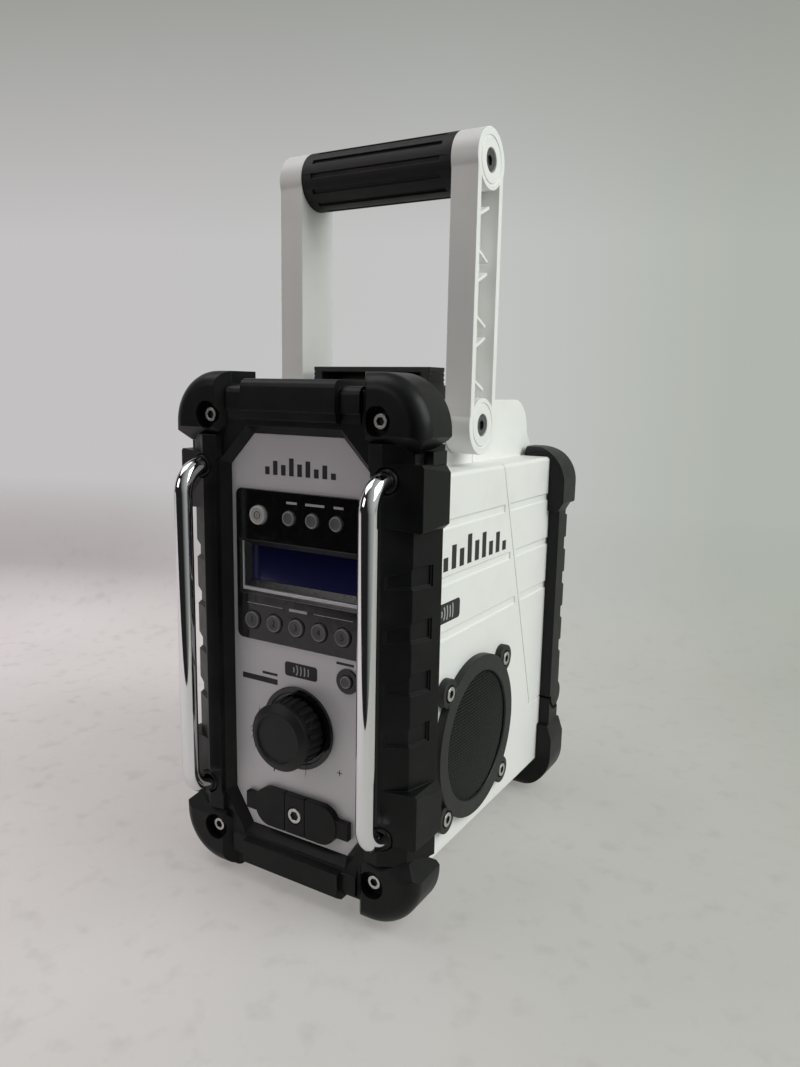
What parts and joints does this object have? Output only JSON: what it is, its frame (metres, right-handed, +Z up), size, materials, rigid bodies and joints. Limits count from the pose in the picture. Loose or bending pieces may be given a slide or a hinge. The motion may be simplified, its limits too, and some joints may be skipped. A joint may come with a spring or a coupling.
{
  "type": "jobsite radio",
  "caption": "Jobsite radio with a rubber-framed case, chrome guard bars, display, control knob, side speakers, a folding carry handle and a latched battery door at the rear.",
  "frame": {"origin": "on the ground, under the middle of the box of the radio with its handle up", "axes": "+X to the radio's right as seen from the front, -Y towards the front panel, +Z up"},
  "size_m": [0.166, 0.2372, 0.431],
  "materials": {
    "white_plastic": "satin white moulded plastic",
    "black_elastomer": "satin black elastomer",
    "grip_rubber": "smooth black rubber",
    "silver_panel": "satin silver-grey paint",
    "gloss_black": "gloss black plastic",
    "window": "tinted clear window",
    "display": "dark blue display",
    "black_plastic": "fine-grained black plastic",
    "grille_black": "satin black plastic",
    "mesh_steel": "black coated wire mesh",
    "chrome": "polished chrome plating",
    "screw_steel": "zinc plated steel",
    "dark_screw": "black zinc steel",
    "driver_black": "paper cone and coated basket",
    "circuit_board": "green solder mask",
    "encoder_case": "plated case",
    "terminal_brass": "grey block with brass blades",
    "cell": "black holder with wrapped cell",
    "power_silver": "bright silver plastic",
    "button_grey": "grey plastic",
    "button_dark": "dark grey plastic"
  },
  "bodies": {
    "root": {"main_housing": "white_plastic", "front_frame": "black_elastomer", "front_panel": "silver_panel", "display_bezel": "gloss_black", "display_window": "window", "display_module": "display", "knob_skirt": "black_plastic", "bar_collars": "black_elastomer", "guard_bar_left": "chrome", "guard_bar_right": "chrome", "case_screws": "screw_steel", "speaker_grille_left": "grille_black", "speaker_grille_right": "grille_black", "speaker_mesh_left": "mesh_steel", "speaker_mesh_right": "mesh_steel", "grille_screws": "screw_steel", "speaker_driver_left": "driver_black", "speaker_driver_right": "driver_black", "main_board": "circuit_board", "button_board": "circuit_board", "encoder_body": "encoder_case", "battery_tray": "black_plastic", "battery_terminal": "terminal_brass", "backup_cell_holder": "cell", "aux_socket": "black_plastic", "supply_socket": "black_plastic", "socket_cover_middle": "black_elastomer", "socket_cover_screw": "screw_steel", "lower_bumper": "black_elastomer", "rubber_feet": "black_elastomer", "door_hinge_pin": "screw_steel", "aerial_socket": "black_plastic", "tune_ring": "black_plastic", "handle_pivot_screws": "dark_screw"},
    "door": {"battery_door": "white_plastic", "door_bumper": "black_elastomer", "door_screws": "screw_steel", "door_seal": "black_elastomer", "latch_pin": "screw_steel"},
    "latch": {"latch_lever": "black_plastic"},
    "handle": {"handle_arm_left": "white_plastic", "handle_arm_right": "white_plastic", "handle_grip": "grip_rubber", "grip_tube": "screw_steel", "handle_top_screws": "dark_screw"},
    "encoder": {"encoder_shaft": "screw_steel"},
    "knob": {"control_knob": "black_plastic"},
    "lid_left": {"socket_lid_left": "black_elastomer"},
    "lid_right": {"socket_lid_right": "black_elastomer"},
    "power": {"power_button": "power_silver"},
    "function_1": {"function_button_1": "button_grey"},
    "function_2": {"function_button_2": "button_grey"},
    "function_3": {"function_button_3": "button_grey"},
    "preset_1": {"preset_button_1": "button_dark"},
    "preset_2": {"preset_button_2": "button_dark"},
    "preset_3": {"preset_button_3": "button_dark"},
    "preset_4": {"preset_button_4": "button_dark"},
    "preset_5": {"preset_button_5": "button_dark"},
    "tune": {"tune_button": "button_grey"}
  },
  "joints": [
    {"name": "handle_fold", "type": "hinge", "parent": "root", "child": "handle", "pos_m": [0, -0.00365, 0.27], "axis": [1, 0, 0], "range_deg": [-90, 0]},
    {"name": "door_open", "type": "hinge", "parent": "root", "child": "door", "pos_m": [0, 0.1096, 0.074], "axis": [-1, 0, 0], "range_deg": [0, 70]},
    {"name": "latch_lift", "type": "hinge", "parent": "door", "child": "latch", "pos_m": [0, 0.0291, 0.2885], "axis": [-1, 0, 0], "range_deg": [0, 60]},
    {"name": "volume_push", "type": "slide", "parent": "root", "child": "encoder", "axis": [0, 1, 0], "range_m": [0, 0.0008], "stiffness_N_per_m": 500},
    {"name": "volume_turn", "type": "hinge", "parent": "encoder", "child": "knob", "pos_m": [0, -0.0999, 0.1], "axis": [0, -1, 0], "continuous": true},
    {"name": "lid_left_swing", "type": "hinge", "parent": "root", "child": "lid_left", "pos_m": [-0.0073, -0.09415, 0.048], "axis": [0, 0, 1], "range_deg": [0, 80]},
    {"name": "lid_right_swing", "type": "hinge", "parent": "root", "child": "lid_right", "pos_m": [0.0073, -0.09415, 0.048], "axis": [0, 0, -1], "range_deg": [0, 80]},
    {"name": "power_press", "type": "slide", "parent": "root", "child": "power", "axis": [0, 1, 0], "range_m": [0, 0.001], "stiffness_N_per_m": 300},
    {"name": "function_1_press", "type": "slide", "parent": "root", "child": "function_1", "axis": [0, 1, 0], "range_m": [0, 0.001], "stiffness_N_per_m": 300},
    {"name": "function_2_press", "type": "slide", "parent": "root", "child": "function_2", "axis": [0, 1, 0], "range_m": [0, 0.001], "stiffness_N_per_m": 300},
    {"name": "function_3_press", "type": "slide", "parent": "root", "child": "function_3", "axis": [0, 1, 0], "range_m": [0, 0.001], "stiffness_N_per_m": 300},
    {"name": "preset_1_press", "type": "slide", "parent": "root", "child": "preset_1", "axis": [0, 1, 0], "range_m": [0, 0.001], "stiffness_N_per_m": 300},
    {"name": "preset_2_press", "type": "slide", "parent": "root", "child": "preset_2", "axis": [0, 1, 0], "range_m": [0, 0.001], "stiffness_N_per_m": 300},
    {"name": "preset_3_press", "type": "slide", "parent": "root", "child": "preset_3", "axis": [0, 1, 0], "range_m": [0, 0.001], "stiffness_N_per_m": 300},
    {"name": "preset_4_press", "type": "slide", "parent": "root", "child": "preset_4", "axis": [0, 1, 0], "range_m": [0, 0.001], "stiffness_N_per_m": 300},
    {"name": "preset_5_press", "type": "slide", "parent": "root", "child": "preset_5", "axis": [0, 1, 0], "range_m": [0, 0.001], "stiffness_N_per_m": 300},
    {"name": "tune_press", "type": "slide", "parent": "root", "child": "tune", "axis": [0, 1, 0], "range_m": [0, 0.001], "stiffness_N_per_m": 300}
  ]
}
